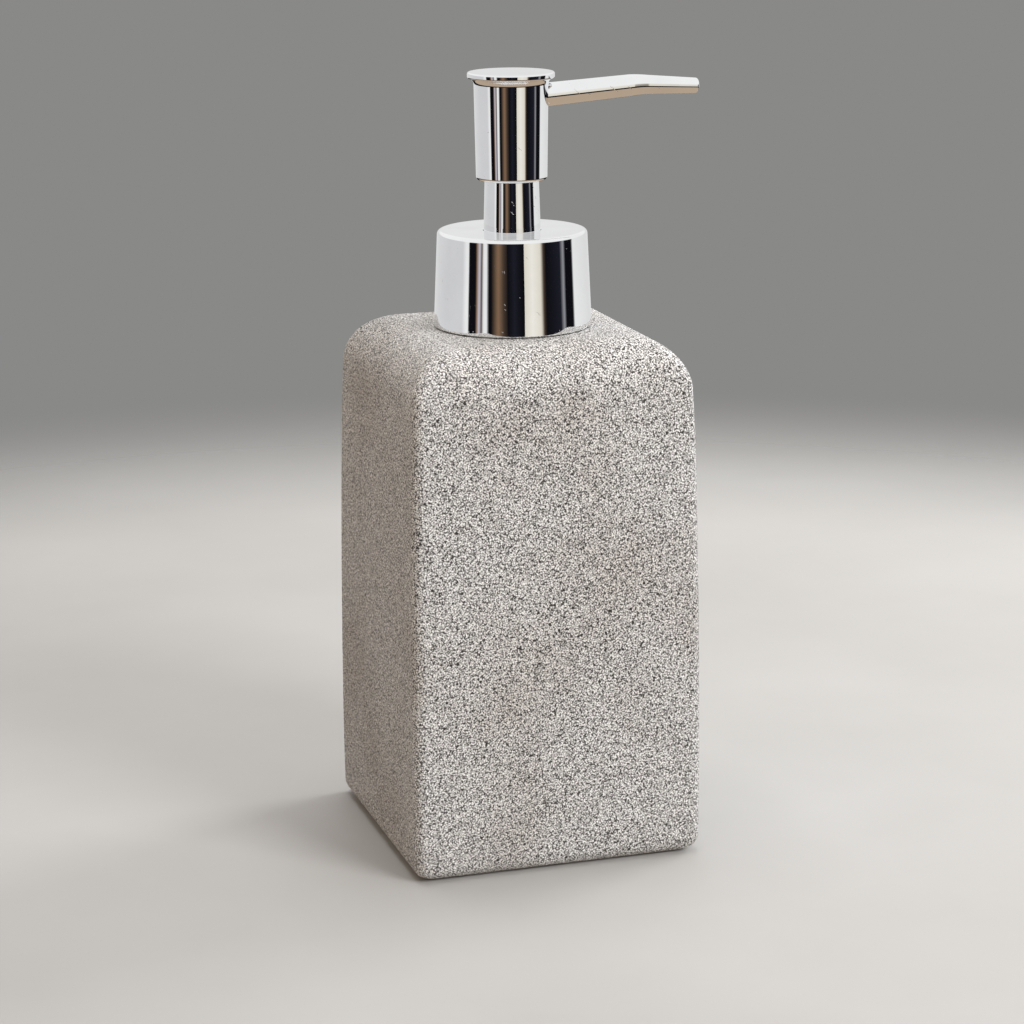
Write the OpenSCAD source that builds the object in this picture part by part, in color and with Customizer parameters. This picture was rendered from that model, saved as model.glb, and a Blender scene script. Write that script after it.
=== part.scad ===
// Soap pump dispenser: a hollow square bottle of cast stone resin with a chrome-plated pump screwed on.
// Millimetres. +Z is up, the origin is the middle of the base pad's underside and the spout points along +X.

/* [Bottle] */
// Width of the bottle across its foot
bottle_w = 72.6; // [68:0.2:78]
// Width of the bottle below its shoulder
bottle_top_w = 69; // [66:0.5:72]
// Height of the bottle's top face above the surface it stands on
bottle_h = 128; // [122:0.5:136]
// How far the sides swell out at half height
belly = 0.6; // [0:0.1:1.5]
// Thickness of the bottle's walls
wall = 4.5; // [3.5:0.5:5.5]
// Radius of the four upright edges
edge_r = 2.5; // [2:0.5:6]
// Radius of the rounded shoulder
shoulder_r = 12.5; // [9:0.5:13]
// Radius of the rounded foot
foot_r = 4; // [2.5:0.5:5]

/* [Collar and neck] */
// Diameter of the chrome collar at its lower rim
collar_d = 38.4; // [38:0.2:39.6]
// Diameter of the chrome collar at its top
collar_top_d = 36.4; // [36:0.2:37.6]
// Height of the chrome collar
collar_h = 23.2; // [22.8:0.2:24.6]
// Outer diameter of the chrome neck where it leaves the collar
neck_d = 13.8; // [13.4:0.1:14.2]
// Outer diameter of the chrome neck at its top
neck_top_d = 13.0; // [12.6:0.1:13.3]

/* [Head and spout] */
// Outer diameter of the head at its lower end
head_d = 17.2; // [16.8:0.1:18]
// Outer diameter of the head below its flare
head_top_d = 17.9; // [17.4:0.1:18.4]
// Diameter of the round press plate on top
plate_d = 21; // [20:0.2:24]
// Height of the head from its lower end to the press plate's top
head_h = 25.8; // [25.5:0.1:26.5]
// Distance from the pump's axis to the tip of the spout
reach = 47.4; // [42:0.2:60]

/* [Pump] */
// How far the head travels when it is pressed
stroke = 11; // [8:0.5:11]
// Height of the chrome neck that shows below the head
neck_shown = 12.1; // [12.1:0.1:14]
// Bore of the pump chamber
chamber_d = 14; // [13:0.5:14]
// Clearance between the dip tube's lower end and the bottle's floor
dip_gap = 3; // [2:0.5:8]

/* [Screw thread] */
// Rise of the thread in one turn
pitch = 4.2333; // [4:0.0001:4.3]
// Turns of thread on the neck
turns = 1.5; // [1:0.25:1.5]

/* [Hidden] */
$fn = 96;

stone = "#b9b2a9";
chrome = "#d9dcdf";
white_plastic = "#f2f1ec";
clear_plastic = "#dfe6e8";
steel = "#a9adb2";
foam = "#3a3a3c";

eps = 0.01;
running_gap = 0.03;
slip_gap = 0.05;

// Heights of the bottle
pad_t = 1;
pad_recess = 0.8;
bottle_z = pad_t - pad_recess;
floor_z = bottle_z + 6;
roof_t = 6.5;
pad_w = 56;
pad_corner_r = 7;

// Neck insert: the threaded collar that is bonded into the bottle's top
insert_r = 13.2;
insert_depth = 9;
insert_bore_r = 10.9;
insert_flange_r = 16;
insert_flange_t = 1.6;
neck_finish_r = 12.6;
neck_finish_h = 16;
neck_top_z = bottle_h + neck_finish_h;
bond_gap = 0.1;

// Screw thread
thread_crest_r = 13.7;
thread_root_w = 2.1;
thread_crest_w = 0.9;
thread_z = bottle_h + 4.6;
thread_steps = 36;
fade_steps = 4;
flank_lift = 0.6;
closure_bore_r = 14;
closure_crest_r = 12.95;

// Stack above the neck: gasket, housing flange, stem guide, neck sleeve and the collar's top
gasket_t = 1.15;
flange_z = neck_top_z + slip_gap + gasket_t;
flange_t = 1.5;
flange_r = 12.7;
deck_z = flange_z + flange_t;
collar_z = bottle_h + 0.2;
collar_top_z = collar_z + collar_h;
collar_wall = 1.5;
collar_edge_r = 1;
shell_roof_z = collar_top_z - collar_wall;
sleeve_flange_t = 0.8;
sleeve_flange_z = shell_roof_z - slip_gap - sleeve_flange_t;
sleeve_flange_r = 9;
sleeve_bore_r = 5.45;
closure_r = 15.9;
closure_z = bottle_h + 2.1;
closure_ribs = 30;
closure_rib_w = 1.2;
closure_rib_t = 0.5;
shell_ribs = 6;
shell_rib_t = 1.9;

// Head
head_z = collar_top_z + neck_shown;
head_top_z = head_z + head_h;
plate_t = 1.55;
plate_z = head_top_z - plate_t;
plate_edge_r = 0.45;
plate_dome = 0.15;
plug_t = 1;
head_bore_r = 7.45;
head_edge_r = 0.9;
flare_r = 1.6;
flare_end = 110;
core_r = 7.35;
core_z = head_z + 13.3;
core_top_z = plate_z - plug_t - 0.1;
socket_r = 5;
socket_z = head_z + 1.3;
channel_r = 1.6;

// Spout: a tapered tube of two straight lengths
spout_z = head_z + 19.85;
spout_start_x = 3.6;
spout_bend = [32.3, spout_z + 1.6];
spout_tip = [reach, spout_z + 0.75];
spigot_r = 2.6;
spout_root_r = 2.85;
spout_bend_r = 2.5;
spout_tip_r = 1.88;
spout_bore_r = 1.3;
spout_tip_bore_r = 1.15;
tip_edge_r = 0.35;
spout_sides = 48;

// Stem, its guide and the piston
sleeve_top_z = head_z + 1.5;
stem_r = 3.35;
stem_top_z = head_z + 12.3;
stem_bore_r = 2.3;
stem_throat_r = 1.6;
guide_bore_r = stem_r + 0.07;
guide_land = 1.5;
guide_plug_z = deck_z - 8.2;
guide_boss_z = sleeve_flange_z + 4.2;
chamber_r = chamber_d / 2;
chamber_wall = 1.2;
shoulder_z = guide_plug_z - 2.55;
stem_shoulder_r = 4.9;
stem_shoulder_h = 2.4;
piston_h = 7.75;
piston_z = shoulder_z - slip_gap - piston_h;
piston_hub_r = 4.7;
piston_lip_t = 0.7;
tip_flange_t = 1.6;
tip_flange_z = piston_z - slip_gap - tip_flange_t;
tip_flange_r = 5.2;
tip_pilot_h = 2.5;
tip_pilot_r = 3.8;
tip_bore_r = 1.2;
outlet_seat_z = tip_flange_z + 6.1;
outlet_ball_r = 1.93;
outlet_lift = 1.4;

// Foot of the housing: ball cage, inlet ball and dip tube socket
spring_len = 22.5;
spring_z = tip_flange_z - spring_len;
cage_t = 1.5;
cage_z = spring_z - cage_t;
cage_pilot_h = 2;
inlet_ball_r = 2.38;
inlet_lift = 1.5;
inlet_bore_r = 1.5;
inlet_chamber_r = 3.2;
inlet_seat_z = cage_z - 6.8;
socket_top_z = inlet_seat_z - 1.7;
nipple_z = socket_top_z - 8.5;
nipple_r = 4.3;
dip_r = 3;
dip_bore_r = 2.2;
dip_z = floor_z + dip_gap;
vent_r = 0.5;

// Return spring
wire_r = 0.45;
coil_r = 4.6;
active_turns = 7;
end_turns = 1;
spring_steps = 18;
wire_sides = 8;

// ---------- shared shapes ----------

// Points of an arc about [x, y] from angle a to angle b
function arc(x, y, r, a, b, n = 8) =
    [for (i = [0:n]) let (t = a + (b - a) * i / n) [x + r * cos(t), y + r * sin(t)]];

// A square of half width h with corners of radius r, as a ring of points at height z
function square_ring(h, r, z, n = 9) =
    [for (q = [0:3]) for (i = [0:n])
        let (t = q * 90 + i * 90 / n, sx = q == 0 || q == 3 ? 1 : -1, sy = q < 2 ? 1 : -1)
        [sx * (h - r) + r * cos(t), sy * (h - r) + r * sin(t), z]];

// A closed solid through rings of points, all of the same length. Each ring runs anticlockwise
// when it is seen from the far end of the row.
module loft(rings) {
    n = len(rings[0]);
    m = len(rings);
    polyhedron(
        points = [for (ring = rings) each ring],
        faces = concat(
            [[for (i = [0:n - 1]) i]],
            [[for (i = [n - 1:-1:0]) (m - 1) * n + i]],
            [for (k = [0:m - 2]) for (i = [0:n - 1])
                let (j = (i + 1) % n)
                each [[k * n + i, (k + 1) * n + i, (k + 1) * n + j],
                      [k * n + i, (k + 1) * n + j, k * n + j]]]
        ),
        convexity = 4
    );
}

// A tube: outer radius, bore radius, and the heights it runs between
module tube(outer, bore, low, high) {
    translate([0, 0, low])
        difference() {
            cylinder(r = outer, h = high - low);
            translate([0, 0, -1]) cylinder(r = bore, h = high - low + 2);
        }
}

// A square plate with round corners
module rounded_plate(w, r, t) {
    linear_extrude(height = t) {
        square([w, w - 2 * r], center = true);
        square([w - 2 * r, w], center = true);
        for (x = [-1, 1], y = [-1, 1])
            translate([x * (w / 2 - r), y * (w / 2 - r)]) circle(r = r);
    }
}

// A helical ridge standing on a wall of radius root, as tall as crest, with faded ends.
// A crest smaller than the root gives an inward ridge.
module thread_ridge(root, crest, root_w, crest_w) {
    steps = turns * thread_steps;
    bury = crest > root ? -0.4 : 0.4;
    function section(i) =
        let (t = i * 360 / thread_steps,
             z = pitch * i / thread_steps,
             rise = min(1, (i + 0.4) / fade_steps, (steps - i + 0.4) / fade_steps),
             top = root + (crest - root) * rise,
             tip_w = root_w + (crest_w - root_w) * rise,
             side = crest > root ? 1 : -1,
             profile = [[root + bury, side * root_w / 2], [top, side * tip_w / 2],
                        [top, -side * tip_w / 2], [root + bury, -side * root_w / 2]])
        [for (p = profile) [p[0] * cos(t), p[0] * sin(t), z + p[1]]];
    loft([for (i = [0:steps]) section(i)]);
}

// ---------- bottle ----------

// Half width of the bottle's side at height z
function side(z) =
    let (t = (z - bottle_z) / (bottle_h - bottle_z))
    (bottle_w + (bottle_top_w - bottle_w) * t) / 2 + 4 * belly * t * (1 - t);

// Rings of a rounded square bottle, drawn in by t from the outside all over
function bottle_rings(t, low, high, foot, shoulder) =
    concat(
        [for (i = [0:6]) let (a = i * 15, z = low + foot * (1 - cos(a)), in = foot * (1 - sin(a)))
            square_ring(side(z) - t - in, max(edge_r - t / 2, 2), z)],
        [for (i = [1:6]) let (z = low + foot + (high - shoulder - low - foot) * i / 7)
            square_ring(side(z) - t, max(edge_r - t / 2, 2), z)],
        [for (i = [0:9]) let (a = i * 10, z = high - shoulder * (1 - sin(a)), in = shoulder * (1 - cos(a)))
            square_ring(side(z) - t - in, max(edge_r - t / 2, 2) + 0.6 * in, z)]
    );

// Cast body: hollow, open at the top for the neck insert and recessed below for the pad
module bottle() {
    color(stone)
        difference() {
            loft(bottle_rings(0, bottle_z, bottle_h, foot_r, shoulder_r));
            loft(bottle_rings(wall, floor_z, bottle_h - roof_t, foot_r - 1, shoulder_r - 3));
            translate([0, 0, bottle_h - roof_t - 1])
                cylinder(r = insert_r + bond_gap, h = roof_t + 2);
            translate([0, 0, bottle_z - 1])
                rounded_plate(pad_w + 0.4, pad_corner_r + 0.2, pad_recess + 1);
        }
}

// Foam pad glued into the recess under the bottle
module base_pad() {
    color(foam) rounded_plate(pad_w, pad_corner_r, pad_t);
}

// Threaded plastic neck with a flange that sits on the bottle's top
module neck_insert() {
    color(white_plastic)
        union() {
            rotate_extrude()
                polygon(concat(
                    [[insert_bore_r, bottle_h - insert_depth], [insert_r - 0.5, bottle_h - insert_depth],
                     [insert_r, bottle_h - insert_depth + 0.8], [insert_r, bottle_h],
                     [insert_flange_r, bottle_h]],
                    arc(insert_flange_r - 0.4, bottle_h + insert_flange_t - 0.4, 0.4, 0, 90, 4),
                    [[neck_finish_r, bottle_h + insert_flange_t]],
                    arc(neck_finish_r - 0.4, neck_top_z - 0.4, 0.4, 0, 90, 4),
                    [[insert_bore_r, neck_top_z]]
                ));
            translate([0, 0, thread_z])
                thread_ridge(neck_finish_r, thread_crest_r, thread_root_w, thread_crest_w);
        }
}

// ---------- closure ----------

// Outside radius of the chrome collar at height z
function collar_r(z) = (collar_d + (collar_top_d - collar_d) * (z - collar_z) / collar_h) / 2;

// Chrome-plated cover of the screw cap
module collar_shell() {
    foot_w = 0.3;
    hole_r = neck_d / 2 + 0.08;
    color(chrome) {
        rotate_extrude()
            polygon(concat(
                [[collar_r(collar_z) - collar_wall, collar_z]],
                arc(collar_r(collar_z) - foot_w, collar_z + foot_w, foot_w, -90, 0, 4),
                arc(collar_r(collar_top_z) - collar_edge_r, collar_top_z - collar_edge_r,
                    collar_edge_r, 0, 90, 8),
                [[hole_r, collar_top_z], [hole_r, shell_roof_z],
                 [collar_r(shell_roof_z) - collar_wall, shell_roof_z]]
            ));
        for (i = [0:shell_ribs - 1])
            rotate([0, 0, i * 360 / shell_ribs])
                translate([closure_r + slip_gap, -closure_rib_w / 2, closure_z + 1])
                    cube([shell_rib_t, closure_rib_w, shell_roof_z - closure_z - 1 + eps]);
    }
}

// Screw cap with the female thread; it clamps the housing's flange and gasket onto the neck
module closure() {
    ridge_z = thread_z + pitch / 2 + flank_lift;
    color(white_plastic) {
        difference() {
            union() {
                translate([0, 0, closure_z]) cylinder(r = closure_r, h = shell_roof_z - closure_z);
                for (i = [0:closure_ribs - 1])
                    rotate([0, 0, (i + 0.5) * 360 / closure_ribs])
                        translate([closure_r - 0.5, -closure_rib_w / 2, closure_z + 0.5])
                            cube([0.5 + closure_rib_t, closure_rib_w, shell_roof_z - closure_z - 1.5]);
            }
            translate([0, 0, closure_z - 1])
                cylinder(r = closure_bore_r, h = deck_z + slip_gap - closure_z + 1);
            translate([0, 0, closure_z]) cylinder(r = sleeve_flange_r + 0.3, h = collar_h);
        }
        translate([0, 0, ridge_z])
            thread_ridge(closure_bore_r, closure_crest_r, thread_root_w, thread_crest_w);
    }
}

// ---------- fixed part of the pump ----------

// Outside radius of the chrome neck at height z
function sleeve_r(z) =
    (neck_d + (neck_top_d - neck_d) * (z - collar_top_z) / (sleeve_top_z - collar_top_z)) / 2;

// Chrome neck that the head slides over
module guide_sleeve() {
    lip = 0.4;
    color(chrome)
        rotate_extrude()
            polygon(concat(
                [[sleeve_bore_r, sleeve_flange_z], [sleeve_flange_r, sleeve_flange_z],
                 [sleeve_flange_r, sleeve_flange_z + sleeve_flange_t],
                 [neck_d / 2, sleeve_flange_z + sleeve_flange_t], [neck_d / 2, collar_top_z]],
                arc(sleeve_r(sleeve_top_z) - lip, sleeve_top_z - lip, lip, 0, 90, 4),
                [[sleeve_bore_r, sleeve_top_z]]
            ));
}

// Plug that closes the chamber's top, guides the stem and carries the chrome neck
module stem_guide() {
    relief_r = guide_bore_r + 0.8;
    color(white_plastic)
        difference() {
            rotate_extrude()
                polygon([
                    [guide_bore_r, guide_plug_z], [chamber_r - 0.6, guide_plug_z],
                    [chamber_r - slip_gap, guide_plug_z + 0.8], [chamber_r - slip_gap, deck_z],
                    [sleeve_flange_r, deck_z], [sleeve_flange_r, sleeve_flange_z],
                    [sleeve_bore_r - slip_gap, sleeve_flange_z],
                    [sleeve_bore_r - slip_gap, guide_boss_z - 0.5],
                    [sleeve_bore_r - 0.5, guide_boss_z], [guide_bore_r, guide_boss_z]
                ]);
            translate([0, 0, guide_plug_z + guide_land])
                cylinder(r = relief_r, h = guide_boss_z - guide_plug_z - 2 * guide_land);
        }
}

// Pump body: flange, chamber, inlet valve seat and the socket for the dip tube
module housing() {
    outer_r = chamber_r + chamber_wall;
    seat_top_z = inlet_seat_z + inlet_chamber_r - inlet_bore_r;
    color(white_plastic)
        difference() {
            rotate_extrude()
                polygon([
                    [dip_r + slip_gap, nipple_z], [nipple_r - 0.4, nipple_z], [nipple_r, nipple_z + 0.8],
                    [nipple_r, inlet_seat_z - 0.6], [nipple_r + 0.6, inlet_seat_z],
                    [nipple_r + 0.6, cage_z - 2.5], [outer_r, cage_z - 0.5], [outer_r, flange_z - 1.6],
                    [insert_bore_r - 0.3, flange_z], [flange_r, flange_z], [flange_r, deck_z],
                    [chamber_r, deck_z], [chamber_r, cage_z], [inlet_chamber_r, cage_z],
                    [inlet_chamber_r, seat_top_z], [inlet_bore_r, inlet_seat_z],
                    [inlet_bore_r, socket_top_z], [dip_r + slip_gap, socket_top_z]
                ]);
            translate([0, 0, piston_z + piston_h / 2])
                rotate([0, 90, 0]) cylinder(r = vent_r, h = outer_r + 2);
        }
}

// Soft washer between the housing's flange and the neck
module neck_gasket() {
    color(foam) tube(neck_finish_r - 0.1, insert_bore_r + 0.1, flange_z - gasket_t, flange_z);
}

// Spring seat that also stops the inlet ball
module ball_cage() {
    arm_w = 1.4;
    stop_z = inlet_seat_z - inlet_bore_r + inlet_ball_r * (sqrt(2) + 1) + inlet_lift + 0.1;
    color(white_plastic) {
        tube(chamber_r - slip_gap, coil_r - wire_r - 0.65, cage_z, spring_z);
        tube(coil_r - wire_r - 0.25, coil_r - wire_r - 1.05, spring_z - eps, spring_z + cage_pilot_h);
        for (a = [0, 90])
            rotate([0, 0, a])
                translate([-coil_r + 0.4, -arm_w / 2, cage_z]) cube([2 * coil_r - 0.8, arm_w, cage_t]);
        translate([0, 0, stop_z]) cylinder(r = 1.6, h = spring_z - stop_z);
    }
}

// Helical compression spring at its fitted length, with closed ends
module return_spring() {
    total = active_turns + 2 * end_turns;
    gap = (spring_len - 2 * wire_r * (1 + 2 * end_turns)) / active_turns;
    function wire_z(t) =
        wire_r + 2 * wire_r * min(t, end_turns) + gap * max(0, min(t, total - end_turns) - end_turns)
        + 2 * wire_r * max(0, t - total + end_turns);
    color(steel)
        translate([0, 0, spring_z])
            loft([for (i = [0:total * spring_steps])
                let (t = i / spring_steps, a = 360 * t)
                [for (s = [wire_sides:-1:1])
                    let (b = 360 * s / wire_sides, r = coil_r + wire_r * cos(b))
                    [r * cos(a), r * sin(a), wire_z(t) + wire_r * sin(b)]]]);
}

// Suction tube with a notched lower end
module dip_tube() {
    color(clear_plastic)
        difference() {
            tube(dip_r, dip_bore_r, dip_z, socket_top_z);
            translate([-dip_r - 1, 0, dip_z])
                rotate([0, 90, 0]) cylinder(r = 1.8, h = 2 * dip_r + 2);
        }
}

// ---------- moving part of the pump ----------

// Lip-sealed piston, trapped between the stem's shoulder and the stem tip
module piston() {
    lip_r = chamber_r - running_gap;
    mid = piston_z + piston_h / 2;
    color(white_plastic)
        rotate_extrude()
            polygon([
                [stem_r + running_gap, piston_z], [piston_hub_r, piston_z],
                [piston_hub_r, mid - 1], [lip_r - 1, mid - 1.4], [lip_r - piston_lip_t, piston_z + 0.5],
                [lip_r, piston_z + 0.3], [lip_r, piston_z + 1.4], [lip_r - 0.35, piston_z + 2.2],
                [lip_r - 0.35, piston_z + piston_h - 2.2], [lip_r, piston_z + piston_h - 1.4],
                [lip_r, piston_z + piston_h - 0.3], [lip_r - piston_lip_t, piston_z + piston_h - 0.5],
                [lip_r - 1, mid + 1.4], [piston_hub_r, mid + 1],
                [piston_hub_r, piston_z + piston_h], [stem_r + running_gap, piston_z + piston_h]
            ]);
}

// Hollow piston rod; the step in its bore stops the outlet ball
module stem() {
    stop_z = outlet_seat_z - tip_bore_r + outlet_ball_r * (sqrt(2) + 1) + outlet_lift + 0.05;
    low = tip_flange_z + tip_flange_t + slip_gap;
    color(white_plastic)
        rotate_extrude()
            polygon([
                [stem_bore_r, low], [stem_r, low], [stem_r, shoulder_z], [stem_shoulder_r, shoulder_z],
                [stem_shoulder_r, shoulder_z + stem_shoulder_h - 0.5],
                [stem_shoulder_r - 0.5, shoulder_z + stem_shoulder_h],
                [stem_r, shoulder_z + stem_shoulder_h], [stem_r, stem_top_z - 0.5],
                [stem_r - 0.5, stem_top_z],
                [stem_throat_r, stem_top_z], [stem_throat_r, stop_z], [stem_bore_r, stop_z]
            ]);
}

// Snap-in end of the stem with the outlet valve's seat; the spring pushes on its flange
module stem_tip() {
    seat_rim_r = stem_bore_r - 0.2;
    spigot_top_z = outlet_seat_z + seat_rim_r - tip_bore_r;
    color(white_plastic)
        rotate_extrude()
            polygon([
                [tip_bore_r, tip_flange_z - tip_pilot_h], [tip_pilot_r - 0.4, tip_flange_z - tip_pilot_h],
                [tip_pilot_r, tip_flange_z - tip_pilot_h + 0.6], [tip_pilot_r, tip_flange_z],
                [tip_flange_r, tip_flange_z], [tip_flange_r, tip_flange_z + tip_flange_t],
                [stem_bore_r - 0.02, tip_flange_z + tip_flange_t], [stem_bore_r - 0.02, spigot_top_z],
                [seat_rim_r, spigot_top_z], [tip_bore_r, outlet_seat_z]
            ]);
}

// Core of the head: socket for the stem, and the channel that turns the soap into the spout
module head_core() {
    color(white_plastic)
        difference() {
            union() {
                translate([0, 0, socket_z]) cylinder(r = socket_r, h = core_z - socket_z + eps);
                translate([0, 0, core_z]) cylinder(r = core_r, h = core_top_z - core_z);
            }
            translate([0, 0, socket_z - 1]) cylinder(r = stem_r + 0.01, h = stem_top_z - socket_z + 1);
            cylinder(r = channel_r, h = spout_z + channel_r);
            translate([0, 0, spout_z]) rotate([0, 90, 0]) cylinder(r = spout_bore_r + 0.1, h = core_r + 1);
            translate([spout_start_x - 0.1, 0, spout_z])
                rotate([0, 90, 0]) cylinder(r = spigot_r + 0.02, h = core_r);
            for (a = [90:45:270])
                rotate([0, 0, a])
                    translate([core_r - 2, -1, core_z - 1]) cube([3, 2, core_top_z - core_z - 1]);
        }
}

// Outside radius of the head's straight part at height z
function head_r(z) = (head_d + (head_top_d - head_d) * (z - head_z) / (plate_z - flare_r - head_z)) / 2;

// Chrome-plated tube of the head, flared towards the press plate and open below
module head_shell() {
    flare_z = plate_z - flare_r * sin(flare_end);
    color(chrome)
        difference() {
            rotate_extrude()
                polygon(concat(
                    [[head_bore_r, head_z]],
                    arc(head_r(head_z) - head_edge_r, head_z + head_edge_r, head_edge_r, -90, 0, 8),
                    arc(head_r(flare_z) + flare_r, flare_z, flare_r, 180, flare_end, 7),
                    [[head_bore_r, plate_z]]
                ));
            translate([0, 0, spout_z]) rotate([0, 90, 0]) cylinder(r = spout_root_r + 0.1, h = 20);
        }
}

// Round plate that the hand presses, with a plug that holds it in the shell
module press_plate() {
    r = plate_d / 2;
    color(chrome)
        rotate_extrude()
            polygon(concat(
                [[0, plate_z - plug_t], [head_bore_r - 0.3, plate_z - plug_t],
                 [head_bore_r - slip_gap, plate_z - 0.7],
                 [head_bore_r - slip_gap, plate_z]],
                arc(r - plate_edge_r, plate_z + plate_edge_r, plate_edge_r, -90, 0, 5),
                arc(r - plate_edge_r, head_top_z - plate_dome - plate_edge_r, plate_edge_r, 0, 85, 5),
                [[r * 0.5, head_top_z - 0.25 * plate_dome], [0, head_top_z]]
            ));
}

// A bore of radius r between two points of the XZ plane, run on by over at both ends
module spout_bore(from, to, r, over) {
    run = to - from;
    translate([from[0], 0, from[1]])
        rotate([0, atan2(run[0], run[1]), 0])
            translate([0, 0, -over]) cylinder(r1 = r[0], r2 = r[1], h = norm(run) + 2 * over);
}

// Hollow chrome spout: a spigot in the head's core, a rising length, a bend and a falling length
module spout() {
    start = [spout_start_x, spout_z];
    root = [head_bore_r + 0.05, spout_z];
    bend_steps = 8;
    ease = 5;
    fall = atan2(spout_tip[1] - spout_bend[1], spout_tip[0] - spout_bend[0]);
    rise = atan2(spout_bend[1] - root[1], spout_bend[0] - root[0]);
    // Centre line as [x, z, radius, slope]: a straight rise, an eased bend, a straight fall and a rounded tip
    line = concat(
        [[root[0], root[1], spout_root_r, rise]],
        [for (i = [0:bend_steps]) let (u = i / bend_steps,
            p = spout_bend - ease * [cos(rise), sin(rise)], q = spout_bend + ease * [cos(fall), sin(fall)],
            c = (1 - u) * (1 - u) * p + 2 * u * (1 - u) * spout_bend + u * u * q)
            [c[0], c[1], spout_bend_r + 0.15 - 0.4 * u, rise + (fall - rise) * u]],
        [for (i = [0:5]) let (a = i * 16, back = tip_edge_r * (1 - sin(a)))
            [spout_tip[0] - back * cos(fall), spout_tip[1] - back * sin(fall),
             spout_tip_r - tip_edge_r * (1 - cos(a)), fall]]
    );
    color(chrome)
        difference() {
            union() {
                translate([start[0], 0, start[1]]) rotate([0, 90, 0]) cylinder(r = spigot_r, h = 6);
                loft([for (p = line)
                    [for (k = [0:spout_sides - 1])
                        let (a = 360 * k / spout_sides, out = p[2] * sin(a))
                        [p[0] - out * sin(p[3]), p[2] * cos(a), p[1] + out * cos(p[3])]]]);
            }
            spout_bore(start, spout_bend, [spout_bore_r, spout_bore_r], 1);
            spout_bore(spout_bend, spout_tip, [spout_bore_r, spout_tip_bore_r], 1);
        }
}

// ---------- valve balls ----------

// A ball at rest on a 45 degree seat whose narrow end has radius bore and height z
module seated_ball(r, bore, z) {
    color(steel) translate([0, 0, z - bore + (r + 0.02) * sqrt(2)]) sphere(r = r);
}

module inlet_ball() {
    seated_ball(inlet_ball_r, inlet_bore_r, inlet_seat_z);
}

module outlet_ball() {
    seated_ball(outlet_ball_r, tip_bore_r, outlet_seat_z);
}

bottle();
base_pad();
neck_insert();
collar_shell();
closure();
guide_sleeve();
stem_guide();
housing();
neck_gasket();
ball_cage();
return_spring();
dip_tube();
piston();
stem();
stem_tip();
head_core();
head_shell();
press_plate();
spout();
inlet_ball();
outlet_ball();
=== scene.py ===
import bmesh
import bpy
from math import atan2, cos, pi, radians, sin
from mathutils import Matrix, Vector


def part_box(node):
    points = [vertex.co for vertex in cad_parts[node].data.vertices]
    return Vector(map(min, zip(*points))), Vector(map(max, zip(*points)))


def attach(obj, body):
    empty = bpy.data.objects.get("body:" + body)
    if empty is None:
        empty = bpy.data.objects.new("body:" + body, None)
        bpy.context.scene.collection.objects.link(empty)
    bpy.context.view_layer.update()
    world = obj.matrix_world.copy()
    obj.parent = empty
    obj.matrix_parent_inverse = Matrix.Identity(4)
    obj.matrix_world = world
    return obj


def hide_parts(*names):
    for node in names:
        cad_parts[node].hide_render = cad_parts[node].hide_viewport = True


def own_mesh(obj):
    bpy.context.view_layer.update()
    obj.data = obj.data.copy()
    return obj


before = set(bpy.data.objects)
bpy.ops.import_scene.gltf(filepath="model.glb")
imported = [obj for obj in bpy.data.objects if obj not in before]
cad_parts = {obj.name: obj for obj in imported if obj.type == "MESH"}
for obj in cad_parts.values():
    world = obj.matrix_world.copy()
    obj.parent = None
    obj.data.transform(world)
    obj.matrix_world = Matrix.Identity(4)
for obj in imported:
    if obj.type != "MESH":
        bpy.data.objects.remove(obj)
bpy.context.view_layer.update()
bpy.ops.object.select_all(action="DESELECT")


# ---- Bottle ----
# A hollow square body, cast in resin filled with crushed stone, with softly rounded edges and a
# rounded shoulder. It is rubbed down and left nearly matt, so the filler's grains show as a speckle.
def pick(piece, wanted):
    """Select the faces whose middle and normal are wanted."""
    bpy.ops.mesh.select_mode(type="FACE")
    bpy.ops.mesh.select_all(action="DESELECT")
    mesh = bmesh.from_edit_mesh(piece.data)
    for face in mesh.faces:
        face.select_set(wanted(face.calc_center_median(), face.normal))
    bmesh.update_edit_mesh(piece.data)


def pick_edges(piece, wanted):
    """Select the edges whose two ends are wanted."""
    bpy.ops.mesh.select_mode(type="EDGE")
    bpy.ops.mesh.select_all(action="DESELECT")
    mesh = bmesh.from_edit_mesh(piece.data)
    for edge in mesh.edges:
        edge.select_set(wanted(edge.verts[0].co, edge.verts[1].co))
    bmesh.update_edit_mesh(piece.data)


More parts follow.
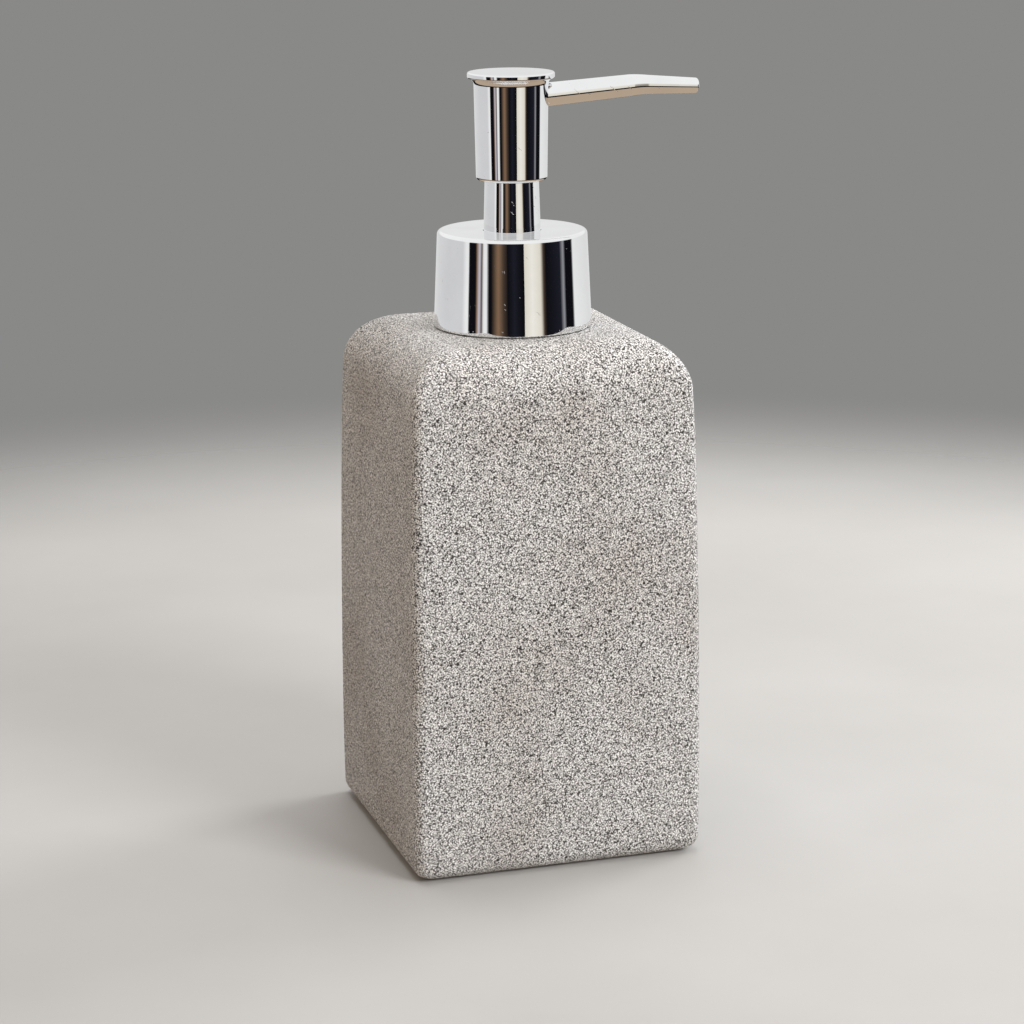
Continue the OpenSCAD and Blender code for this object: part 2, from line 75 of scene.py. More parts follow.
def rounded_box(name, foot_half, top_half, low, high, edge, shoulder, foot, belly):
    """A tapered square block with rounded upright edges, a rounded shoulder and slightly full sides."""
    bpy.ops.mesh.primitive_cube_add(size=1, location=(0, 0, (low + high) / 2))
    block = bpy.context.object
    block.name = name
    block.dimensions = (2 * foot_half, 2 * foot_half, high - low)
    bpy.ops.object.transform_apply(location=True, rotation=True, scale=True)
    bpy.ops.object.mode_set(mode="EDIT")
    pick(block, lambda place, normal: normal.z > 0.9)
    bpy.ops.transform.resize(value=(top_half / foot_half, top_half / foot_half, 1))
    bpy.ops.mesh.bevel(offset=shoulder, segments=14, affect="EDGES")
    pick(block, lambda place, normal: normal.z < -0.9)
    bpy.ops.mesh.bevel(offset=foot, segments=6, affect="EDGES")
    pick_edges(block, lambda a, b: a.x * b.x > 0 and a.y * b.y > 0 and abs(a.z - b.z) > 1e-6
               and abs(abs(a.x) - abs(a.y)) < 1e-5 and abs(abs(b.x) - abs(b.y)) < 1e-5)
    bpy.ops.mesh.bevel(offset=edge, segments=10, affect="EDGES")
    rings = 9
    straight = high - shoulder - low - foot
    heights = [low + foot + straight * ring / (rings + 1) for ring in range(1, rings + 1)]
    for height in heights:
        bpy.ops.mesh.select_all(action="SELECT")
        bpy.ops.mesh.bisect(plane_co=(0, 0, height), plane_no=(0, 0, 1))
    for height in heights:
        up = (height - low) / (high - low)
        swell = 1 + 4 * belly * up * (1 - up) / foot_half
        pick_edges(block, lambda a, b: abs(a.z - height) < 1e-5 and abs(b.z - height) < 1e-5)
        bpy.ops.transform.resize(value=(swell, swell, 1), center_override=(0, 0, height))
    bpy.ops.object.mode_set(mode="OBJECT")
    return block


def cut(piece, cutter):
    """Cut one solid out of another."""
    carve = piece.modifiers.new("carve", "BOOLEAN")
    carve.object = cutter
    carve.solver = "EXACT"
    bpy.ops.object.select_all(action="DESELECT")
    bpy.context.view_layer.objects.active = piece
    piece.select_set(True)
    bpy.ops.object.modifier_apply(modifier=carve.name)
    bpy.data.objects.remove(cutter, do_unlink=True)


def smooth(piece, angle):
    """Shade smooth, with edges sharper than the angle kept crisp and large faces kept straight."""
    bpy.ops.object.select_all(action="DESELECT")
    bpy.context.view_layer.objects.active = piece
    piece.select_set(True)
    bpy.ops.object.shade_smooth_by_angle(angle=radians(angle))
    straight = piece.modifiers.new("straight", "WEIGHTED_NORMAL")
    straight.keep_sharp = True
    bpy.ops.object.modifier_apply(modifier=straight.name)
    bpy.ops.object.select_all(action="DESELECT")


def new_finish(name, colour, roughness, metallic=0.0):
    """A material with its shader set, and the pieces needed to add a pattern to it."""
    finish = bpy.data.materials.new(name)
    finish.use_nodes = True
    tree = finish.node_tree
    shader = tree.nodes["Principled BSDF"]
    shader.inputs["Base Color"].default_value = (*colour, 1)
    shader.inputs["Roughness"].default_value = roughness
    shader.inputs["Metallic"].default_value = metallic
    place = tree.nodes.new("ShaderNodeTexCoord").outputs["Object"]
    return finish, tree, shader, place


def add_node(tree, kind, values=None, **settings):
    """A node with its settings, its input values and its inputs' links."""
    node = tree.nodes.new("ShaderNode" + kind)
    for key, value in settings.items():
        setattr(node, key, value)
    for key, value in (values or {}).items():
        if isinstance(value, bpy.types.NodeSocket):
            tree.links.new(value, node.inputs[key])
        else:
            node.inputs[key].default_value = value
    return node


def ramp(tree, source, stops):
    """A colour ramp over a value, from (place, colour) stops."""
    band = add_node(tree, "ValToRGB", {"Fac": source})
    points = band.color_ramp.elements
    while len(points) < len(stops):
        points.new(0.5)
    for point, (at, colour) in zip(points, stops):
        point.position = at
        point.color = (*colour, 1)
    return band.outputs["Color"]


bottle_low, bottle_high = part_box("bottle")
foot_z, top_z = bottle_low.z, bottle_high.z
foot_half, top_half, wall, floor_t, roof_t, belly = 0.0363, 0.0345, 0.0045, 0.006, 0.0065, 0.0006
body = rounded_box("resin_body", foot_half, top_half, foot_z, top_z,
                   edge=0.0025, shoulder=0.0125, foot=0.004, belly=belly)
hollow = rounded_box("hollow", foot_half - wall, top_half - wall, foot_z + floor_t, top_z - roof_t,
                     edge=0.002, shoulder=0.009, foot=0.003, belly=belly)
cut(body, hollow)
mouth_r = 0.0133
bpy.ops.mesh.primitive_cylinder_add(vertices=96, radius=mouth_r, depth=0.012, location=(0, 0, top_z - 0.002))
cut(body, bpy.context.object)
recess_side, recess_corner_r = 0.0564, 0.0072
bpy.ops.mesh.primitive_cube_add(size=1, location=(0, 0, foot_z - 0.0002))
recess = bpy.context.object
recess.dimensions = (recess_side, recess_side, 0.002)
bpy.ops.object.transform_apply(location=True, rotation=True, scale=True)
bpy.ops.object.mode_set(mode="EDIT")
pick_edges(recess, lambda a, b: abs(a.z - b.z) > 1e-4)
bpy.ops.mesh.bevel(offset=recess_corner_r, segments=10, affect="EDGES")
bpy.ops.object.mode_set(mode="OBJECT")
cut(body, recess)
smooth(body, 40)

stone, tree, shader, place = new_finish("cast_stone_resin", (0.42, 0.39, 0.365), 0.6)
askew = add_node(tree, "Mapping", {"Vector": place, "Rotation": (0.5, 0.6, 0.3)}).outputs["Vector"]
grains = add_node(tree, "TexVoronoi", {"Vector": askew, "Scale": 2250.0, "Randomness": 0.9})
grain_colour = ramp(tree, grains.outputs["Distance"], [
    (0.26, (1.0, 1.0, 1.0)), (0.43, (0.78, 0.76, 0.745)), (0.52, (0.33, 0.315, 0.305)),
    (0.62, (0.02, 0.019, 0.018))])
powder = add_node(tree, "TexNoise", {"Vector": askew, "Scale": 2900.0, "Detail": 0.0})
powder_colour = ramp(tree, powder.outputs["Fac"], [
    (0.38, (0.02, 0.019, 0.018)), (0.46, (0.16, 0.152, 0.145)), (0.52, (0.55, 0.53, 0.515)),
    (0.58, (1.0, 1.0, 0.99))])
blend = add_node(tree, "Mix", {"Factor": 0.4}, data_type="RGBA")
tree.links.new(grain_colour, blend.inputs["A"])
tree.links.new(powder_colour, blend.inputs["B"])
chips = add_node(tree, "TexVoronoi", {"Vector": place, "Scale": 640.0, "Randomness": 1.0})
chip_pick = add_node(tree, "SeparateColor", {"Color": chips.outputs["Color"]})
rare = add_node(tree, "Math", {0: chip_pick.outputs["Green"], 1: 0.9}, operation="GREATER_THAN")
chip_size = add_node(tree, "Math", {0: chip_pick.outputs["Blue"], 1: 0.13, 2: 0.13}, operation="MULTIPLY_ADD")
core = add_node(tree, "Math", {0: chips.outputs["Distance"], 1: chip_size.outputs[0]}, operation="LESS_THAN")
chip = add_node(tree, "Math", {0: rare.outputs[0], 1: core.outputs[0]}, operation="MULTIPLY")
dotted = add_node(tree, "Mix", {"Factor": chip.outputs[0]}, data_type="RGBA")
tree.links.new(blend.outputs["Result"], dotted.inputs["A"])
dotted.inputs["B"].default_value = (0.03, 0.027, 0.025, 1)
cloud = add_node(tree, "TexNoise", {"Vector": place, "Scale": 24.0, "Detail": 4.0, "Roughness": 0.55})
cloud_tint = ramp(tree, cloud.outputs["Fac"], [
    (0.34, (0.84, 0.81, 0.78)), (0.5, (0.97, 0.965, 0.955)), (0.66, (1.0, 1.0, 1.0))])
tinted = add_node(tree, "Mix", {"Factor": 1.0}, data_type="RGBA", blend_type="MULTIPLY")
tree.links.new(dotted.outputs["Result"], tinted.inputs["A"])
tree.links.new(cloud_tint, tinted.inputs["B"])
tree.links.new(tinted.outputs["Result"], shader.inputs["Base Color"])
sheen = add_node(tree, "MapRange", {"Value": powder.outputs["Fac"], "To Min": 0.5, "To Max": 0.72})
tree.links.new(sheen.outputs["Result"], shader.inputs["Roughness"])
relief = add_node(tree, "Math", {0: grains.outputs["Distance"], 1: powder.outputs["Fac"]}, operation="ADD")
rough = add_node(tree, "Bump", {"Height": relief.outputs[0], "Strength": 0.4, "Distance": 0.0002})
tree.links.new(rough.outputs["Normal"], shader.inputs["Normal"])
body.data.materials.clear()
body.data.materials.append(stone)
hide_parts("bottle")
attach(body, "bottle")


# ---- Base pad ----
# A square of dark closed-cell foam with its own adhesive, pressed into the recess under the bottle so
# that the resin doesn't scratch what it stands on. Its skin shows small burst cells.
foam, tree, shader, place = new_finish("closed_cell_foam", (0.035, 0.035, 0.038), 0.85)
cells = add_node(tree, "TexVoronoi", {"Vector": place, "Scale": 1500.0})
cell_colour = ramp(tree, cells.outputs["Distance"], [
    (0.0, (0.015, 0.015, 0.017)), (0.5, (0.05, 0.05, 0.054))])
tree.links.new(cell_colour, shader.inputs["Base Color"])
pores = add_node(tree, "Bump", {"Height": cells.outputs["Distance"], "Strength": 0.5, "Distance": 0.0003})
tree.links.new(pores.outputs["Normal"], shader.inputs["Normal"])
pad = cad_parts["base_pad"]
pad.data.materials.clear()
pad.data.materials.append(foam)


# ---- Moulded plastic inside ----
# The neck insert, screw cap, pump body, guides, stem and head core are injection moulded in natural
# polypropylene. They are silky, faintly uneven in gloss and carry fine flow marks from the mould.
plastic, tree, shader, place = new_finish("moulded_polypropylene", (0.82, 0.81, 0.77), 0.38)
shader.inputs["Subsurface Weight"].default_value = 0.1
shader.inputs["Subsurface Scale"].default_value = 0.002
flow = add_node(tree, "TexNoise", {"Vector": place, "Scale": 260.0, "Detail": 5.0, "Roughness": 0.6})
milk = ramp(tree, flow.outputs["Fac"], [(0.3, (0.78, 0.77, 0.73)), (0.7, (0.87, 0.86, 0.83))])
tree.links.new(milk, shader.inputs["Base Color"])
gloss = add_node(tree, "MapRange", {"Value": flow.outputs["Fac"], "To Min": 0.28, "To Max": 0.5})
tree.links.new(gloss.outputs["Result"], shader.inputs["Roughness"])
skin = add_node(tree, "Bump", {"Height": flow.outputs["Fac"], "Strength": 0.12, "Distance": 0.0002})
tree.links.new(skin.outputs["Normal"], shader.inputs["Normal"])
for name in ("neck_insert", "closure", "housing", "stem_guide", "ball_cage", "stem", "stem_tip", "head_core",
             "piston"):
    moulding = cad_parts[name]
    moulding.data.materials.clear()
    moulding.data.materials.append(plastic)


# ---- Gasket and dip tube ----
# The washer under the pump's flange is punched from soft white foam, and the suction tube is extruded
# in unpigmented polyethylene, milky and faintly ribbed along its length by the die.
washer, tree, shader, place = new_finish("soft_washer", (0.72, 0.72, 0.69), 0.7)
crumb = add_node(tree, "TexNoise", {"Vector": place, "Scale": 1800.0, "Detail": 3.0})
crumb_colour = ramp(tree, crumb.outputs["Fac"], [(0.35, (0.66, 0.66, 0.63)), (0.65, (0.78, 0.78, 0.75))])
tree.links.new(crumb_colour, shader.inputs["Base Color"])
crumbs = add_node(tree, "Bump", {"Height": crumb.outputs["Fac"], "Strength": 0.4, "Distance": 0.0002})
tree.links.new(crumbs.outputs["Normal"], shader.inputs["Normal"])
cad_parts["neck_gasket"].data.materials.clear()
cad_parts["neck_gasket"].data.materials.append(washer)

milky, tree, shader, place = new_finish("milky_tube", (0.80, 0.83, 0.83), 0.25)
shader.inputs["Alpha"].default_value = 0.55
stretch = add_node(tree, "Mapping", {"Vector": place, "Scale": (1.0, 1.0, 0.02)})
die_lines = add_node(tree, "TexNoise", {"Vector": stretch.outputs["Vector"], "Scale": 1400.0, "Detail": 2.0})
line_colour = ramp(tree, die_lines.outputs["Fac"], [(0.35, (0.74, 0.77, 0.77)), (0.65, (0.86, 0.89, 0.89))])
tree.links.new(line_colour, shader.inputs["Base Color"])
ribs = add_node(tree, "Bump", {"Height": die_lines.outputs["Fac"], "Strength": 0.2, "Distance": 0.0001})
tree.links.new(ribs.outputs["Normal"], shader.inputs["Normal"])
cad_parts["dip_tube"].data.materials.clear()
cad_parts["dip_tube"].data.materials.append(milky)


# ---- Return spring and valve balls ----
# The spring is coiled from drawn stainless wire with two closed ends, and the two valve balls are
# ground and polished stainless steel. The wire keeps fine draw marks along its length.
steel, tree, shader, place = new_finish("drawn_stainless", (0.60, 0.59, 0.58), 0.28, 1.0)
draw_marks = add_node(tree, "TexNoise", {"Vector": place, "Scale": 2500.0, "Detail": 3.0})
mark_gloss = add_node(tree, "MapRange", {"Value": draw_marks.outputs["Fac"], "To Min": 0.16, "To Max": 0.4})
tree.links.new(mark_gloss.outputs["Result"], shader.inputs["Roughness"])
mark_tone = ramp(tree, draw_marks.outputs["Fac"], [(0.3, (0.5, 0.49, 0.48)), (0.7, (0.68, 0.67, 0.66))])
tree.links.new(mark_tone, shader.inputs["Base Color"])
for name in ("inlet_ball", "outlet_ball"):
    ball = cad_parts[name]
    ball.data.materials.clear()
    ball.data.materials.append(steel)

spring_low, spring_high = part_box("return_spring")
wire, coil, active, closed = 0.00045, 0.0046, 7, 1
spring_len = spring_high.z - spring_low.z
turns = active + 2 * closed
rise = (spring_len - 2 * wire * (1 + 2 * closed)) / active
path = bpy.data.curves.new("coil_line", "CURVE")
path.dimensions = "3D"
path.bevel_depth = wire
path.bevel_resolution = 4
path.use_fill_caps = True
line = path.splines.new("POLY")
steps = 40
line.points.add(turns * steps)
for index, point in enumerate(line.points):
    turn = index / steps
    height = 2 * wire * (min(turn, closed) + max(0, turn - turns + closed))
    height += rise * max(0, min(turn, turns - closed) - closed)
    angle = 2 * pi * turn
    point.co = (coil * cos(angle), coil * sin(angle), spring_low.z + wire + height, 1)
spring = bpy.data.objects.new("coil_spring", path)
bpy.context.collection.objects.link(spring)
bpy.ops.object.select_all(action="DESELECT")
bpy.context.view_layer.objects.active = spring
spring.select_set(True)
bpy.ops.object.convert(target="MESH")
spring = bpy.context.object
smooth(spring, 60)
spring.data.materials.clear()
spring.data.materials.append(steel)
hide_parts("return_spring")
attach(spring, "pump")
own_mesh(spring)


# ---- Chrome plating ----
# The collar, neck, head, press plate and spout are moulded in plastic and electroplated with bright
# chrome. The moulding under the plating is slightly wavy, and use has left a few scratches and specks.
chrome, tree, shader, place = new_finish("bright_chrome", (0.86, 0.865, 0.87), 0.03, 1.0)
upright = add_node(tree, "Mapping", {"Vector": place, "Scale": (1.0, 1.0, 0.3)})
sink = add_node(tree, "TexNoise", {"Vector": upright.outputs["Vector"], "Scale": 110.0, "Detail": 1.5})
waves = add_node(tree, "Bump", {"Height": sink.outputs["Fac"], "Strength": 0.07, "Distance": 0.0006})
slant = add_node(tree, "Mapping", {"Vector": place, "Rotation": (0.0, 0.75, 0.0), "Scale": (14.0, 1.0, 1.0)},
                 vector_type="TEXTURE")
scratches = add_node(tree, "TexNoise", {"Vector": slant.outputs["Vector"], "Scale": 2100.0, "Detail": 1.0})
scratch_lines = add_node(tree, "MapRange", {"Value": scratches.outputs["Fac"],
                                            "From Min": 0.73, "From Max": 0.76})
handled = add_node(tree, "TexNoise", {"Vector": place, "Scale": 130.0, "Detail": 1.0})
handled_spots = add_node(tree, "MapRange", {"Value": handled.outputs["Fac"],
                                            "From Min": 0.52, "From Max": 0.6})
scratch = add_node(tree, "Math", {0: scratch_lines.outputs["Result"], 1: handled_spots.outputs["Result"]},
                   operation="MULTIPLY")
specks = add_node(tree, "TexVoronoi", {"Vector": place, "Scale": 520.0})
speck_pick = add_node(tree, "SeparateColor", {"Color": specks.outputs["Color"]})
speck_rare = add_node(tree, "Math", {0: speck_pick.outputs["Red"], 1: 0.975}, operation="GREATER_THAN")
speck_core = add_node(tree, "Math", {0: specks.outputs["Distance"], 1: 0.07}, operation="LESS_THAN")
speck = add_node(tree, "Math", {0: speck_rare.outputs[0], 1: speck_core.outputs[0]}, operation="MULTIPLY")
worn = add_node(tree, "Math", {0: scratch.outputs[0], 1: speck.outputs[0]}, operation="MAXIMUM")
marks = add_node(tree, "Bump", {"Height": worn.outputs[0], "Strength": 0.4, "Distance": 0.00004,
                                "Normal": waves.outputs["Normal"]})
tree.links.new(marks.outputs["Normal"], shader.inputs["Normal"])
film = add_node(tree, "TexNoise", {"Vector": place, "Scale": 60.0, "Detail": 6.0, "Roughness": 0.65})
film_gloss = add_node(tree, "MapRange", {"Value": film.outputs["Fac"], "From Min": 0.35, "From Max": 0.7,
                                         "To Min": 0.012, "To Max": 0.045})
dulled = add_node(tree, "Math", {0: worn.outputs[0], 1: 0.3, 2: film_gloss.outputs["Result"]},
                  operation="MULTIPLY_ADD")
tree.links.new(dulled.outputs[0], shader.inputs["Roughness"])
chrome_tone = ramp(tree, film.outputs["Fac"], [(0.35, (0.83, 0.835, 0.84)), (0.65, (0.89, 0.895, 0.90))])
tree.links.new(chrome_tone, shader.inputs["Base Color"])


def turned(name, outline, steps=160):
    """A round piece spun about the pump's axis from an outline of (radius, height) points."""
    bpy.ops.mesh.primitive_plane_add(size=0.001, location=(0, 0, 0))
    piece = bpy.context.object
    piece.name = name
    bpy.ops.object.mode_set(mode="EDIT")
    bpy.ops.mesh.select_mode(type="VERT")
    bpy.ops.mesh.select_all(action="SELECT")
    bpy.ops.mesh.merge(type="CENTER")
    bpy.ops.transform.translate(value=(outline[0][0], 0, outline[0][1]))
    for (r0, z0), (r1, z1) in zip(outline, outline[1:]):
        bpy.ops.mesh.extrude_vertices_move(TRANSFORM_OT_translate={"value": (r1 - r0, 0, z1 - z0)})
    bpy.ops.mesh.select_all(action="SELECT")
    bpy.ops.mesh.spin(steps=steps, angle=2 * pi, center=(0, 0, 0), axis=(0, 0, 1))
    bpy.ops.mesh.select_all(action="SELECT")
    bpy.ops.mesh.remove_doubles(threshold=1e-6)
    bpy.ops.mesh.normals_make_consistent(inside=False)
    bpy.ops.object.mode_set(mode="OBJECT")
    piece.data.materials.clear()
    piece.data.materials.append(chrome)
    return piece


def bow(radius, height, size, start, end, parts=8):
    """Points of an arc, for a rounded edge in an outline."""
    return [(radius + size * cos(radians(start + (end - start) * i / parts)),
             height + size * sin(radians(start + (end - start) * i / parts))) for i in range(parts + 1)]


# ---- Collar ----
# The chromed cover of the screw cap: a slightly tapered cup with a rounded upper rim and a hole for
# the neck. It is pressed over the cap's ribs and stands just clear of the bottle's shoulder.
collar_low, collar_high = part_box("collar_shell")
rim_r, crown_r, shell_t, hole_r = collar_high.x, 0.0182, 0.0015, 0.00698
lip_r, brim_r = 0.0003, 0.001
collar = turned("chrome_collar",
                [(rim_r - shell_t, collar_low.z + 0.0002)]
                + bow(rim_r - lip_r, collar_low.z + lip_r, lip_r, -100, 0, 6)
                + bow(crown_r - brim_r, collar_high.z - brim_r, brim_r, 3, 90, 12)
                + bow(hole_r + lip_r, collar_high.z - lip_r, lip_r, 90, 180, 5)
                + [(hole_r, collar_high.z - shell_t), (crown_r - shell_t - 0.0002, collar_high.z - shell_t),
                   (rim_r - shell_t, collar_low.z + 0.0002)])
smooth(collar, 50)
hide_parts("collar_shell")
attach(collar, "closure")


# ---- Neck ----
# The chromed tube that rises through the collar, clipped under it by its flange. The head slides down
# over it, so its top is rounded to lead the head on.
neck_low, neck_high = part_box("guide_sleeve")
bore_r, tail_r, tail_t, neck_r, nose_r, nose_round = 0.00545, 0.009, 0.0008, 0.0069, 0.0065, 0.0004
neck = turned("chrome_neck",
              [(bore_r, neck_low.z), (tail_r, neck_low.z), (tail_r, neck_low.z + tail_t),
               (neck_r, neck_low.z + tail_t), (neck_r, collar_high.z)]
              + bow(nose_r - nose_round, neck_high.z - nose_round, nose_round, 0, 90, 6)
              + [(bore_r, neck_high.z), (bore_r, neck_low.z)])
smooth(neck, 50)
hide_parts("guide_sleeve")
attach(neck, "pump")


# ---- Head ----
# The chromed tube that the hand pushes down, open below, widening a little upwards and flared under
# the press plate. A round hole in its side takes the spout.
head_low, head_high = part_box("head_shell")
spout_low, spout_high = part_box("spout")
skirt_r, brow_r, inner_r, flare, flare_end = 0.0086, 0.00895, 0.00745, 0.0016, 110
inner_round, skirt_round, side_hole_r = 0.0003, 0.0008, 0.00295
plate_z = head_high.z
flare_z = plate_z - flare * sin(radians(flare_end))
spout_z = head_low.z + 0.01985
head = turned("chrome_head",
              [(inner_r, head_low.z + 0.0004)]
              + bow(inner_r + inner_round, head_low.z + inner_round, inner_round, 180, 270, 5)
              + bow(skirt_r - skirt_round, head_low.z + skirt_round, skirt_round, -90, -2, 9)
              + bow(brow_r + flare, flare_z, flare, 180, flare_end, 9)
              + [(inner_r, plate_z), (inner_r, head_low.z + 0.0004)])
bpy.ops.mesh.primitive_cylinder_add(vertices=64, radius=side_hole_r, depth=0.01, location=(0.01, 0, spout_z),
                                    rotation=(0, pi / 2, 0))
cut(head, bpy.context.object)
smooth(head, 42)
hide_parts("head_shell")
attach(head, "actuator")


# ---- Press plate ----
# A round, very slightly domed plate with a soft edge that closes the head. Its plug is pressed into
# the head's bore, and its rim stands out over the flare.
plate_low, plate_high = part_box("press_plate")
plate_r, plug_r, rim_round = plate_high.x, 0.0074, 0.0004
plate = turned("press_plate_cap",
               [(0.0, plate_low.z), (plug_r - 0.0003, plate_low.z), (plug_r, plate_low.z + 0.0004),
                (plug_r, plate_z)]
               + bow(plate_r - rim_round, plate_z + rim_round, rim_round, -90, 0, 7)
               + bow(plate_r - rim_round, plate_high.z - rim_round - 0.0001, rim_round, 0, 84, 8)
               + [(plate_r * 0.8, plate_high.z - 0.00007), (plate_r * 0.45, plate_high.z - 0.00002),
                  (0.0, plate_high.z)])
smooth(plate, 50)
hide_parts("press_plate")
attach(plate, "actuator")


# ---- Spout ----
# A long thin tube of plated plastic, pushed into the head's core. It tapers all the way, rises
# slightly to a soft bend about two thirds along, and falls to a rounded, open tip.
root_x, bend_x, tip_x = 0.0075, 0.0323, spout_high.x
bend_z, tip_z = spout_z + 0.0016, spout_z + 0.00075
root_r, bend_r, tip_r, outlet_r, spigot_r = 0.00285, 0.0025, 0.00188, 0.00115, 0.0026
up_slope = atan2(bend_z - spout_z, bend_x - root_x)
down_slope = atan2(tip_z - bend_z, tip_x - bend_x)
stations = [(spout_low.x, spout_z, outlet_r + 0.0002, 0), (spout_low.x, spout_z, spigot_r, 0),
            (root_x, spout_z, spigot_r, 0), (root_x, spout_z, root_r, 0),
            (root_x + 0.001, spout_z + 0.00003, root_r, up_slope / 2)]
ease = 0.0022
for i in range(9):
    u = i / 8
    x = (1 - u) ** 2 * (bend_x - ease) + 2 * u * (1 - u) * bend_x + u * u * (bend_x + ease)
    z = ((1 - u) ** 2 * (bend_z - ease * sin(up_slope)) + 2 * u * (1 - u) * bend_z
         + u * u * (bend_z + ease * sin(down_slope)))
    stations.append((x, z, bend_r + 0.00012 - 0.0003 * u, up_slope + (down_slope - up_slope) * u))
lip = 0.0005
for i in range(7):
    turn_in = radians(i * 15)
    back = lip * (1 - sin(turn_in))
    stations.append((tip_x - back * cos(down_slope), tip_z - back * sin(down_slope),
                     tip_r - lip * (1 - cos(turn_in)), down_slope))
stations.append((tip_x - 0.00005, tip_z, outlet_r + 0.00005, down_slope))
stations.append((tip_x - 0.0005, tip_z, outlet_r, down_slope))
stations.append((bend_x, bend_z, outlet_r + 0.0001, 0))
stations.append((spout_low.x, spout_z, outlet_r + 0.0002, 0))

start_x, start_z, start_r = stations[0][:3]
bpy.ops.mesh.primitive_circle_add(vertices=64, radius=start_r, location=(start_x, 0, start_z),
                                  rotation=(0, pi / 2, 0))
spout = bpy.context.object
spout.name = "chrome_spout"
bpy.ops.object.transform_apply(location=True, rotation=True, scale=True)
bpy.ops.object.mode_set(mode="EDIT")
bpy.ops.mesh.select_all(action="SELECT")
for (x0, z0, r0, a0), (x1, z1, r1, a1) in zip(stations, stations[1:]):
    bpy.ops.mesh.extrude_region_move(TRANSFORM_OT_translate={"value": (x1 - x0, 0, z1 - z0)})
    bpy.ops.transform.resize(value=(r1 / r0, r1 / r0, r1 / r0), center_override=(x1, 0, z1))
    bpy.ops.transform.rotate(value=a1 - a0, orient_axis="Y", center_override=(x1, 0, z1))
bpy.ops.mesh.select_all(action="SELECT")
bpy.ops.mesh.remove_doubles(threshold=1e-6)
bpy.ops.mesh.normals_make_consistent(inside=False)
bpy.ops.object.mode_set(mode="OBJECT")
spout.data.materials.clear()
spout.data.materials.append(chrome)
smooth(spout, 40)
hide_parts("spout")
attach(spout, "actuator")


# ---- Floor ----
# A plain pale tabletop under the dispenser, which fades out towards its edge.
bpy.ops.mesh.primitive_circle_add(vertices=128, radius=0.55, fill_type="NGON", location=(0, 0, 0))
floor = bpy.context.object
floor.name = "tabletop"
pale, tree, shader, place = new_finish("pale_tabletop", (0.45, 0.445, 0.435), 0.6)
grain = add_node(tree, "TexNoise", {"Vector": place, "Scale": 9.0, "Detail": 5.0, "Roughness": 0.55})
grain_tone = ramp(tree, grain.outputs["Fac"], [(0.3, (0.43, 0.425, 0.412)), (0.7, (0.47, 0.465, 0.455))])
tree.links.new(grain_tone, shader.inputs["Base Color"])
span = add_node(tree, "VectorMath", {0: place}, operation="LENGTH")
fade = add_node(tree, "MapRange", {"Value": span.outputs["Value"], "From Min": 0.3, "From Max": 0.54,
                                   "To Min": 1.0, "To Max": 0.0}, interpolation_type="SMOOTHSTEP")
tree.links.new(fade.outputs["Result"], shader.inputs["Alpha"])
floor.data.materials.append(pale)
floor.visible_glossy = False


# ---- Studio ----
# A room with dark and cream drapes in front of the dispenser, which the chrome mirrors as upright bands, a
# white ceiling and a tan bench below. A soft key light stands in front on the right, with a low rim light
# behind it and a wide soft light overhead.
room = bpy.data.worlds.new("studio_room")
bpy.context.scene.world = room
room.use_nodes = True
tree = room.node_tree
tree.nodes.clear()
way = add_node(tree, "TexCoord").outputs["Generated"]
axes = add_node(tree, "SeparateXYZ", {"Vector": way})
turn_to = add_node(tree, "Math", {0: axes.outputs["X"], 1: axes.outputs["Y"]}, operation="ARCTAN2")
around = add_node(tree, "MapRange", {"Value": turn_to.outputs[0], "From Min": -pi, "From Max": pi})
folds = add_node(tree, "TexNoise", {"Vector": way, "Scale": 3.0, "Detail": 2.0})
sway = add_node(tree, "Math", {0: folds.outputs["Fac"], 1: 0.02, 2: -0.01}, operation="MULTIPLY_ADD")
swayed = add_node(tree, "Math", {0: around.outputs["Result"], 1: sway.outputs[0]}, operation="ADD")
camera_turn = atan2(-0.2094, -0.6720)


def drape(degrees):
    """Where a direction, in degrees right of the camera as seen from the dispenser, falls on the ramp."""
    turn = camera_turn - radians(degrees)
    return ((turn + pi) % (2 * pi)) / (2 * pi)


white, pearl, grey, black = (0.90, 0.90, 0.90), (0.78, 0.78, 0.78), (0.68, 0.68, 0.69), (0.005, 0.005, 0.007)
navy, slate, brown = (0.013, 0.014, 0.022), (0.30, 0.30, 0.33), (0.075, 0.05, 0.035)
cream, ivory, rust, lilac = (0.80, 0.75, 0.64), (0.93, 0.90, 0.83), (0.25, 0.15, 0.09), (0.62, 0.60, 0.67)
drapes = [
    (-178, pearl), (-110, grey), (-80, grey), (-73, white), (-68.5, white), (-67, black), (-56, black),
    (-54, rust), (-50, lilac), (-46, brown), (-43, white), (-39, white), (-37, black), (-32, black),
    (-27, brown), (-20, rust), (-14, brown), (-8, black), (2, navy), (15, black), (18, cream), (30, ivory),
    (42, cream), (46, brown), (50, black), (75, navy), (82, slate), (86, black), (100, black),
    (103, white), (150, pearl), (179, pearl)]
stops = sorted((drape(degrees), colour) for degrees, colour in drapes)
bands = ramp(tree, swayed.outputs[0], stops)
up = add_node(tree, "MapRange", {"Value": axes.outputs["Z"], "From Min": -0.5, "From Max": 0.5})
tan, snow = (0.50, 0.39, 0.29), (0.97, 0.97, 0.97)
outside = ramp(tree, up.outputs["Result"], [
    (0.0, tan), (0.09, tan), (0.11, black), (0.33, black), (0.5, snow), (1.0, snow)])
inside = ramp(tree, up.outputs["Result"], [
    (0.0, (0, 0, 0)), (0.30, (0, 0, 0)), (0.31, (1, 1, 1)), (0.62, (1, 1, 1)), (0.76, (0, 0, 0))])
view_round = add_node(tree, "Mix", {"Factor": inside}, data_type="RGBA")
tree.links.new(outside, view_round.inputs["A"])
tree.links.new(bands, view_round.inputs["B"])
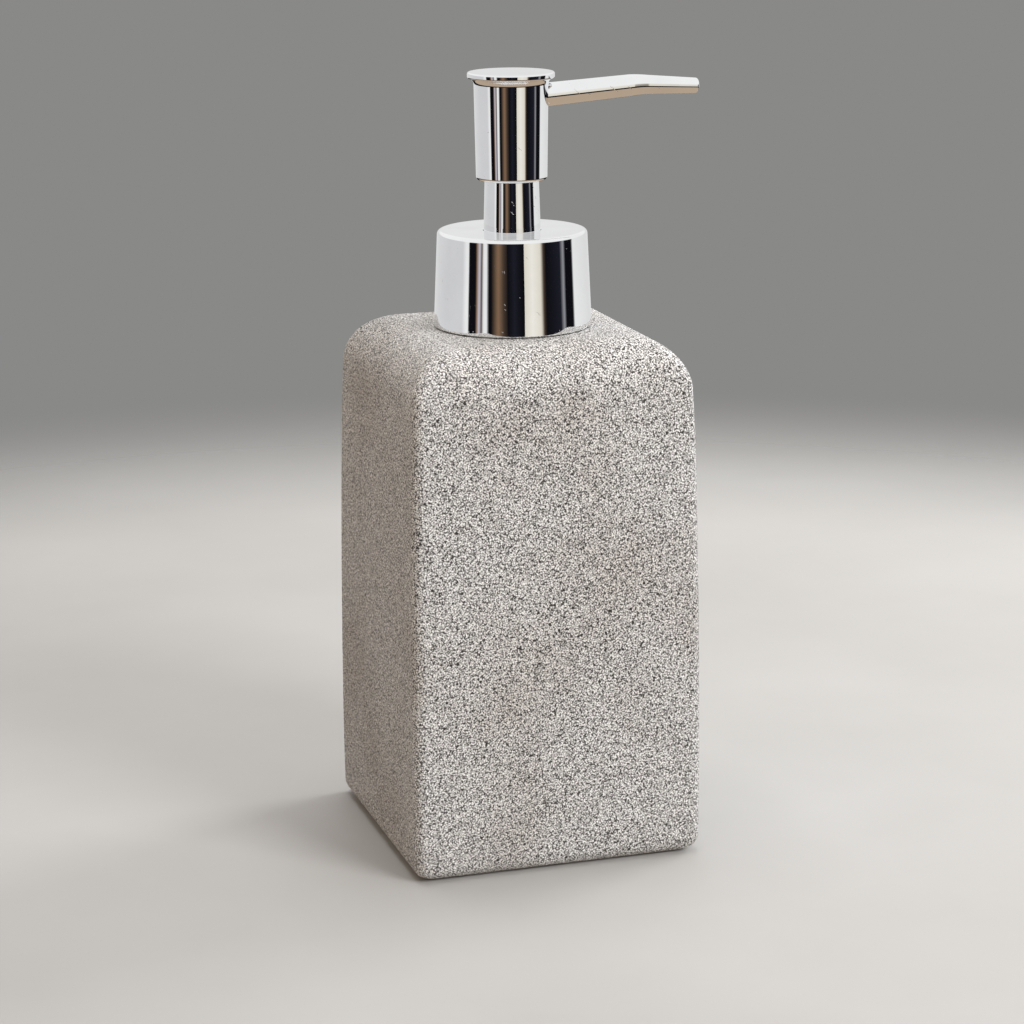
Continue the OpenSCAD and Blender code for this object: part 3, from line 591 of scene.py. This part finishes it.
light_path = add_node(tree, "LightPath")
mirrored = add_node(tree, "Background", {"Color": view_round.outputs["Result"], "Strength": 1.0})
side = add_node(tree, "MapRange", {"Value": axes.outputs["X"], "From Min": -1.0, "From Max": 1.0})
side_light = ramp(tree, side.outputs["Result"], [
    (0.0, (0.43, 0.29, 0.17)), (0.3, (0.45, 0.40, 0.355)), (1.0, (0.54, 0.55, 0.58))])
ambient = add_node(tree, "Background", {"Color": side_light, "Strength": 1.0})
backdrop = add_node(tree, "Background", {"Color": (0.25, 0.25, 0.245, 1), "Strength": 1.0})
soft = add_node(tree, "MixShader", {0: light_path.outputs["Is Glossy Ray"], 1: ambient.outputs[0],
                                    2: mirrored.outputs[0]})
seen = add_node(tree, "MixShader", {0: light_path.outputs["Is Camera Ray"], 1: soft.outputs[0],
                                    2: backdrop.outputs[0]})
add_node(tree, "OutputWorld", {"Surface": seen.outputs[0]})

for name, spot, size, watts, colour in (
        ("key", (0.55, -0.95, 0.75), 0.5, 11.1, (1.0, 0.99, 0.98)),
        ("rim", (0.75, 0.25, 0.45), 0.35, 4, (1.0, 1.0, 1.0)),
        ("top", (0.0, 0.1, 1.1), 0.6, 5.7, (1.0, 1.0, 1.0))):
    lamp = bpy.data.lights.new(name, "AREA")
    lamp.energy = watts
    lamp.size = size
    lamp.color = colour
    holder = bpy.data.objects.new(name, lamp)
    holder.location = spot
    holder.visible_glossy = False
    holder.rotation_euler = (Vector((0, 0, 0.09)) - Vector(spot)).to_track_quat("-Z", "Y").to_euler()
    bpy.context.collection.objects.link(holder)

eye = bpy.data.cameras.new("eye")
eye.sensor_width = 36
eye.lens = 103.11
eye.shift_x = -0.0023
eye.shift_y = -0.0005
eye.clip_start = 0.01
watcher = bpy.data.objects.new("watcher", eye)
watcher.location = (-0.20945, -0.67204, 0.25922)
watcher.rotation_euler = (radians(75.7896), radians(0.4459), radians(-17.4229))
bpy.context.collection.objects.link(watcher)
bpy.context.scene.camera = watcher
bpy.context.scene.view_settings.view_transform = "Standard"
